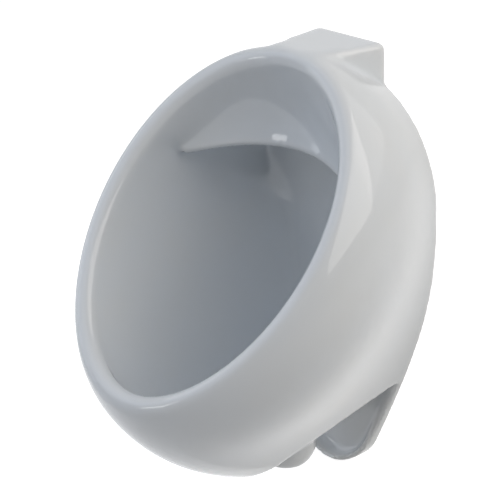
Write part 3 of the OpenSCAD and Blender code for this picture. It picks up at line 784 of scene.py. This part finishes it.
def turned_metal(name, colours, rough, axis, spread=0.06, pitch=0.35):
    """A metal turned on a lathe: fine rings pitch millimetres apart and patches of slightly duller metal."""
    material, tree, place = new_material(name)
    dull = add(tree, "TexNoise", (-950, 150), {"Vector": place, "Scale": per_mm(6.25), "Detail": 4})
    dull = add(tree, "MapRange", (-700, 150), (dull, 0.35, 0.7, rough, rough + spread))
    patch = add(tree, "TexNoise", (-950, 350), {"Vector": place, "Scale": per_mm(14.3), "Detail": 3})
    patch = add(tree, "MapRange", (-500, 350), (patch, 0.3, 0.75, 0.0, 0.5))
    tint = add(tree, "Mix", (-300, 300), {0: patch, 6: linear(colours[0]), 7: linear(colours[1])}, 2,
               data_type="RGBA")
    along = add(tree, "SeparateXYZ", (-950, -200), (place,), axis)
    rings = add(tree, "Math", (-700, -200), (along, per_mm(pitch) * 2 * pi), operation="MULTIPLY")
    rings = add(tree, "Math", (-500, -200), (rings,), operation="SINE")
    bump = add(tree, "Bump", (-250, -200), {"Height": rings, "Distance": 0.000002, "Strength": 0.6})
    skin = add(tree, "BsdfPrincipled", (300, 0),
               {"Base Color": tint, "Metallic": 1.0, "Roughness": dull, "Normal": bump})
    add(tree, "OutputMaterial", (900, 0), (skin,))
    return material


def zinc_steel():
    """Bent steel with bright zinc plating, mottled with a faint blue and straw cast."""
    material, tree, place = new_material("Zinc plated steel")
    cast = add(tree, "TexNoise", (-950, 300), {"Vector": place, "Scale": per_mm(22.2), "Detail": 3})
    cast = add(tree, "MapRange", (-700, 300), (cast, 0.35, 0.65, 0.0, 1.0))
    tint = add(tree, "Mix", (-300, 300), {0: cast, 6: linear("#AEB6BE"), 7: linear("#BDBBB1")}, 2,
               data_type="RGBA")
    # Zinc crystals, each with its own dullness
    spangle = add(tree, "TexVoronoi", (-950, 0), {"Vector": place, "Scale": per_mm(2.63)}, "Color")
    patch = add(tree, "SeparateColor", (-700, 0), (spangle,))
    rough = add(tree, "MapRange", (-450, 0), (patch, 0.0, 1.0, 0.26, 0.40))
    grain = add(tree, "TexNoise", (-950, -250), {"Vector": place, "Scale": per_mm(1.11), "Detail": 3})
    bump = add(tree, "Bump", (-200, -200), {"Height": grain, "Distance": 0.00001})
    skin = add(tree, "BsdfPrincipled", (300, 0),
               {"Base Color": tint, "Metallic": 1.0, "Roughness": rough, "Normal": bump})
    add(tree, "OutputMaterial", (900, 0), (skin,))
    return material


def black_rubber():
    """Moulded black rubber with a fine matt grain and a little bloom."""
    material, tree, place = new_material("Black rubber")
    bloom = add(tree, "TexNoise", (-750, 200), {"Vector": place, "Scale": per_mm(8.33), "Detail": 4})
    bloom = add(tree, "MapRange", (-500, 200), (bloom, 0.4, 0.75, 0.0, 0.6))
    tint = add(tree, "Mix", (-200, 200), {0: bloom, 6: linear("#1C1C1E"), 7: linear("#2B2B2D")}, 2,
               data_type="RGBA")
    grain = add(tree, "TexNoise", (-750, -150),
                {"Vector": place, "Scale": per_mm(0.556), "Detail": 3, "Roughness": 0.6})
    bump = add(tree, "Bump", (-200, -150), {"Height": grain, "Distance": 0.00004})
    skin = add(tree, "BsdfPrincipled", (300, 0),
               {"Base Color": tint, "Roughness": 0.58, "IOR": 1.5, "Normal": bump})
    add(tree, "OutputMaterial", (900, 0), (skin,))
    return material


def seen_directly(tree, x):
    """1 for rays from the camera, from gloss and through glass, else 0."""
    path = add(tree, "LightPath", (x, 0)).node.outputs
    seen = add(tree, "Math", (x + 200, 0), (path["Is Camera Ray"], path["Is Glossy Ray"]),
               operation="MAXIMUM")
    return add(tree, "Math", (x + 400, 0), (seen, path["Is Transmission Ray"]), operation="MAXIMUM")


def white_floor():
    """A pale floor that shows white to the camera and keeps the object's shadow."""
    material, tree, _ = new_material("Pale floor")
    share = add(tree, "Math", (0, 0), (seen_directly(tree, -600), FLOOR_GLOW), operation="MULTIPLY")
    glow = add(tree, "Emission", (200, 0), {"Color": linear("#FFFFFF"), "Strength": share})
    matt = add(tree, "BsdfDiffuse", (200, 200), {"Color": linear("#C6C6C6")})
    both = add(tree, "AddShader", (500, 0), (matt, glow))
    add(tree, "OutputMaterial", (900, 0), (both,))
    return material


def white_world(level):
    """Soft light from all round; white where the camera, gloss or glass sees it."""
    world = bpy.data.worlds.new("Soft studio")
    bpy.context.scene.world = world
    world.use_nodes = True
    tree = world.node_tree
    tree.nodes.clear()
    seen = seen_directly(tree, -900)
    strength = add(tree, "Mix", (-300, 0), {0: seen, 2: level, 3: 1.0}, data_type="FLOAT")
    back = add(tree, "Background", (-100, 0), {"Color": linear("#FFFFFF"), "Strength": strength})
    add(tree, "OutputWorld", (100, 0), (back,))


def direction(turn, rise):
    """Unit direction from the bowl, turn degrees round from its front toward +x and rise degrees up."""
    a, e = radians(turn), radians(rise)
    return Vector((sin(a) * cos(e), -cos(a) * cos(e), sin(e)))


def aimed(name, data, turn, rise, distance):
    """A lamp or camera that looks at the bowl from turn and rise degrees, distance metres off."""
    item = placed(name, data)
    away = direction(turn, rise)
    item.location = Vector(TARGET) + distance * away
    item.rotation_mode = "QUATERNION"
    item.rotation_quaternion = (-away).to_track_quat("-Z", "Y")
    return item


def lamp(name, turn, rise, size, power, colour):
    """A square soft lamp, size metres wide."""
    data = bpy.data.lights.new(name, "AREA")
    data.shape = "SQUARE"
    data.size = size
    data.energy = power
    data.color = linear(colour)[:3]
    aimed(name, data, turn, rise, LAMP_DISTANCE)


def ready(piece, name, body, slot_name, material, *nodes):
    """Names a finished piece, gives it its material, smooths its shading, lets it ride on its body and hides
    its CAD nodes.
    """
    piece.name = name
    piece.data.name = name
    piece.data.materials.clear()
    piece.data.materials.append(material)
    pick(piece)
    bpy.ops.object.shade_smooth_by_angle(angle=SHARP)
    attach(piece, body)
    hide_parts(*nodes)


def merged_copy(node):
    """A copy of a CAD node with its doubled points merged and its flat faces joined."""
    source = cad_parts[node]
    piece = placed(node + "_copy", source.data.copy())
    pick(piece)
    bpy.ops.mesh.customdata_custom_splitnormals_clear()
    bpy.ops.object.mode_set(mode="EDIT")
    bpy.ops.mesh.select_all(action="SELECT")
    bpy.ops.mesh.remove_doubles(threshold=SAME_POINT)
    bpy.ops.mesh.dissolve_limited(angle_limit=FLAT)
    bpy.ops.object.mode_set(mode="OBJECT")
    face_outward(piece)
    return piece


def soften(piece, width, segments):
    """Rounds the sharp edges of a fitting by width in millimetres."""
    apply_modifier(piece, "BEVEL", width=0.001 * width, segments=segments, limit_method="ANGLE",
                   angle_limit=SHARP)


def fitting(node, body, finish, slot_name, material, width, segments=3):
    """A fitting made from its CAD node, with its edges rounded by width in millimetres if that isn't 0."""
    piece = merged_copy(node)
    if width > 0:
        soften(piece, width, segments)
    ready(piece, node + "_" + finish, body, slot_name, material, node)


def section_ring(name, section):
    """A closed section of (radius, y) pairs in millimetres as a ring of edges above the y axis."""
    n = len(section)
    mesh = bpy.data.meshes.new(name)
    edges = [(i, (i + 1) % n) for i in range(n)]
    mesh.from_pydata([(0, 0.001 * y, 0.001 * r) for r, y in section], edges, [])
    return placed(name, mesh)


def raised(piece, height):
    """The piece moved up by height in millimetres, its place kept in its mesh."""
    pick(piece)
    piece.location = (0, 0, 0.001 * height)
    bpy.ops.object.transform_apply(location=True, rotation=True, scale=True)
    return piece


def lathe(name, section, height):
    """A ring turned from a closed section about a level axis at this height."""
    piece = section_ring(name, section)
    apply_modifier(piece, "SCREW", axis="Y", angle=2 * pi, steps=ROUND_SIDES, render_steps=ROUND_SIDES,
                   use_merge_vertices=True, merge_threshold=1e-6)
    face_outward(piece)
    return raised(piece, height)


def thread(name, root, crest, start, end, height, pitch):
    """One helical ridge between two y values, with its root slightly below the core's face."""
    sink = THREAD_SINK if crest > root else -THREAD_SINK
    low, high = THREAD_ROOT * pitch, THREAD_CREST * pitch
    first = start - 0.5 * pitch
    ridge = [(root - sink, -low), (root, -low), (crest, -high), (crest, high), (root, low),
             (root - sink, low)]
    piece = section_ring(name, [(r, first + y) for r, y in ridge])
    turns = int((abs(end - start) - pitch) / pitch)
    apply_modifier(piece, "SCREW", axis="Y", angle=2 * pi, screw_offset=-0.001 * pitch, iterations=turns,
                   steps=THREAD_STEPS, render_steps=THREAD_STEPS, use_merge_vertices=False)
    # Both open ends are closed with one face each
    pick(piece)
    bpy.ops.object.mode_set(mode="EDIT")
    bpy.ops.mesh.select_all(action="SELECT")
    bpy.ops.mesh.fill_holes(sides=len(ridge))
    bpy.ops.object.mode_set(mode="OBJECT")
    face_outward(piece)
    return raised(piece, height)


def join(name, *pieces):
    """Joins pieces into one object."""
    pick(*pieces)
    bpy.ops.object.join()
    pieces[0].name = name
    return pieces[0]


class BowlSettings(PropertyGroup):
    """How finely the china is made."""
    voxel: FloatProperty(name="Quad size", description="Edge length of the china's quads", default=0.0033,
                         min=0.0028, max=0.006, unit="LENGTH")
    soft: IntProperty(name="Softness", description="Smoothing passes that round the china's edges",
                      default=12, min=4, max=30)


class FittingSettings(PropertyGroup):
    """Edges and threads of the fittings."""
    metal_edge: FloatProperty(name="Metal edge", description="Radius broken on turned and pressed metal",
                              default=0.0003, min=0.0001, max=0.0006, unit="LENGTH")
    rubber_edge: FloatProperty(name="Rubber edge", description="Radius on moulded rubber", default=0.0004,
                               min=0.0001, max=0.0008, unit="LENGTH")
    pitch: FloatProperty(name="Thread pitch", description="Pitch of the inlet's pipe threads",
                         default=0.001814, min=0.001, max=0.0025, unit="LENGTH")


class LightSettings(PropertyGroup):
    """Levels of the studio light."""
    world: FloatProperty(name="Room light", description="Strength of the soft light from all round",
                         default=0.10, min=0, max=2)
    key: FloatProperty(name="Key lamp", description="Power of the large lamp high at the right",
                       default=59, min=0, unit="POWER")
    rear: FloatProperty(name="Rear lamp", description="Power of the lamp behind at the right",
                        default=9, min=0, unit="POWER")
    top: FloatProperty(name="Top lamp", description="Power of the lamp high at the left",
                       default=28, min=0, unit="POWER")
    fill: FloatProperty(name="Fill lamp", description="Power of the low lamp at the left",
                        default=12, min=0, unit="POWER")
    glint: FloatProperty(name="Glint lamp", description="Power of the small low lamp in front at the left",
                         default=4.5, min=0, unit="POWER")


class UrinalSettings(PropertyGroup):
    """All settings of the urinal."""
    bowl: PointerProperty(type=BowlSettings)
    fittings: PointerProperty(type=FittingSettings)
    light: PointerProperty(type=LightSettings)


def brass():
    """Turned brass."""
    name = "Turned brass"
    return bpy.data.materials.get(name) or turned_metal(name, ("#CDB06B", "#B4975A"), 0.24, "Y")


def chrome():
    """Polished chrome plate."""
    name = "Chrome plate"
    return bpy.data.materials.get(name) or turned_metal(name, ("#DDE0E3", "#D3D7DB"), 0.05, "Y", 0.03, 0.5)


def stainless():
    """Brushed stainless steel."""
    name = "Stainless steel"
    return bpy.data.materials.get(name) or turned_metal(name, ("#C9CACB", "#BDBEC0"), 0.2, "Z", 0.08)


def zinc():
    """Zinc plated steel."""
    return bpy.data.materials.get("Zinc plated steel") or zinc_steel()


def rubber():
    """Black rubber."""
    return bpy.data.materials.get("Black rubber") or black_rubber()


class URINAL_OT_bowl(Operator):
    """Builds the vitreous china bowl"""
    bl_idname = "urinal.bowl"
    bl_label = "China bowl"

    def execute(self, context):
        settings = context.scene.urinal.bowl
        china = china_bowl(settings.voxel, settings.soft)
        if len(china.data.polygons) < LEAST_FACES:
            raise RuntimeError("the bowl came out empty")
        ready(china, "bowl_china", "urinal", "china", glazed_china(), "bowl")
        return {"FINISHED"}


class URINAL_OT_inlet(Operator):
    """Builds the inlet's tail with its threads, its back nut, seals and filter"""
    bl_idname = "urinal.inlet"
    bl_label = "Water inlet"

    def execute(self, context):
        settings = context.scene.urinal.fittings
        pitch, edge = 1000 * settings.pitch, 1000 * settings.metal_edge
        core = lathe("tail", TAIL_SECTION, INLET_HEIGHT)
        soften(core, edge, 3)
        outside = thread("outside_thread", *OUTSIDE_THREAD, INLET_HEIGHT, pitch)
        inside = thread("inside_thread", *INSIDE_THREAD, INLET_HEIGHT, pitch)
        tail = join("tail", core, outside, inside)
        ready(tail, "inlet_tail_brass", "urinal", "brass", brass(), "inlet_tail")
        fitting("inlet_backnut", "urinal", "brass", "brass", brass(), 2 * edge)
        for node in ("inlet_gasket", "inlet_washer"):
            fitting(node, "urinal", "rubber", "rubber", rubber(), 1000 * settings.rubber_edge)
        fitting("inlet_filter", "urinal", "steel", "stainless", stainless(), FINE_EDGE, 2)
        return {"FINISHED"}


class URINAL_OT_spreader(Operator):
    """Builds the spreader, its seal and its grub screw"""
    bl_idname = "urinal.spreader"
    bl_label = "Spreader"

    def execute(self, context):
        edge = 1000 * context.scene.urinal.fittings.metal_edge
        fitting("spreader", "urinal", "chrome", "chrome", chrome(), edge)
        fitting("spreader_seal", "urinal", "rubber", "rubber", rubber(), 0)
        fitting("spreader_grub_screw", "urinal", "steel", "stainless", stainless(), FINE_EDGE, 2)
        return {"FINISHED"}


class URINAL_OT_strainer(Operator):
    """Builds the waste strainer's plate, ring, spider, screw and nut"""
    bl_idname = "urinal.strainer"
    bl_label = "Strainer"

    def execute(self, context):
        settings = context.scene.urinal.fittings
        edge = 1000 * settings.metal_edge
        fitting("strainer_ring", "strainer", "rubber", "rubber", rubber(), 1000 * settings.rubber_edge)
        fitting("strainer_plate", "strainer", "stainless", "stainless", stainless(), edge)
        fitting("strainer_spider", "strainer", "stainless", "stainless", stainless(), edge)
        fitting("strainer_screw", "strainer", "stainless", "stainless", stainless(), SCREW_EDGE)
        fitting("strainer_nut", "strainer", "brass", "brass", brass(), edge)
        return {"FINISHED"}


class URINAL_OT_hangers(Operator):
    """Builds the two wall hangers and their pads"""
    bl_idname = "urinal.hangers"
    bl_label = "Hangers"

    def execute(self, context):
        settings = context.scene.urinal.fittings
        metal, soft = 1000 * settings.metal_edge, 1000 * settings.rubber_edge
        for side in ("left", "right"):
            fitting("hanger_" + side, "urinal", "steel", "zinc_steel", zinc(), 2 * metal)
            fitting("hanger_pad_" + side, "urinal", "rubber", "rubber", rubber(), soft)
        return {"FINISHED"}


class URINAL_OT_stage(Operator):
    """Builds the floor, the soft light and the camera"""
    bl_idname = "urinal.stage"
    bl_label = "Stage"

    def execute(self, context):
        light = context.scene.urinal.light
        bpy.ops.mesh.primitive_plane_add(size=FLOOR_SIZE, location=(0, 0, -FLOOR_GAP))
        floor = context.object
        floor.name = "floor"
        floor.data.materials.append(white_floor())
        white_world(light.world)
        for name, (turn, rise, size, colour) in LAMPS.items():
            lamp(name + "_lamp", turn, rise, size, getattr(light, name), colour)
        data = bpy.data.cameras.new("camera")
        data.lens = CAMERA_LENS
        data.sensor_width = CAMERA_SENSOR
        data.shift_x, data.shift_y = CAMERA_SHIFT
        context.scene.camera = aimed("camera", data, CAMERA_TURN, CAMERA_RISE, CAMERA_DISTANCE)
        context.scene.view_settings.view_transform = "Standard"
        return {"FINISHED"}


class URINAL_PT_panel(Panel):
    """Steps and settings of the urinal"""
    bl_label = "Urinal"
    bl_idname = "URINAL_PT_panel"
    bl_space_type = "VIEW_3D"
    bl_region_type = "UI"
    bl_category = "Urinal"

    def draw(self, context):
        for step in STEPS:
            self.layout.operator("urinal." + step)
        for group in (context.scene.urinal.bowl, context.scene.urinal.fittings, context.scene.urinal.light):
            part = self.layout.box()
            for key in group.__annotations__:
                part.prop(group, key)


STEPS = ("bowl", "inlet", "spreader", "strainer", "hangers", "stage")
CLASSES = (BowlSettings, FittingSettings, LightSettings, UrinalSettings, URINAL_OT_bowl, URINAL_OT_inlet,
           URINAL_OT_spreader, URINAL_OT_strainer, URINAL_OT_hangers, URINAL_OT_stage, URINAL_PT_panel)


def register():
    """Registers the classes and the scene's settings."""
    for item in CLASSES:
        bpy.utils.register_class(item)
    bpy.types.Scene.urinal = PointerProperty(type=UrinalSettings)


def unregister():
    """Removes what register added."""
    del bpy.types.Scene.urinal
    for item in reversed(CLASSES):
        bpy.utils.unregister_class(item)


def main():
    """Builds everything in order."""
    register()
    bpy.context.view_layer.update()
    for step in STEPS:
        getattr(bpy.ops.urinal, step)()


if __name__ == "__main__":
    main()
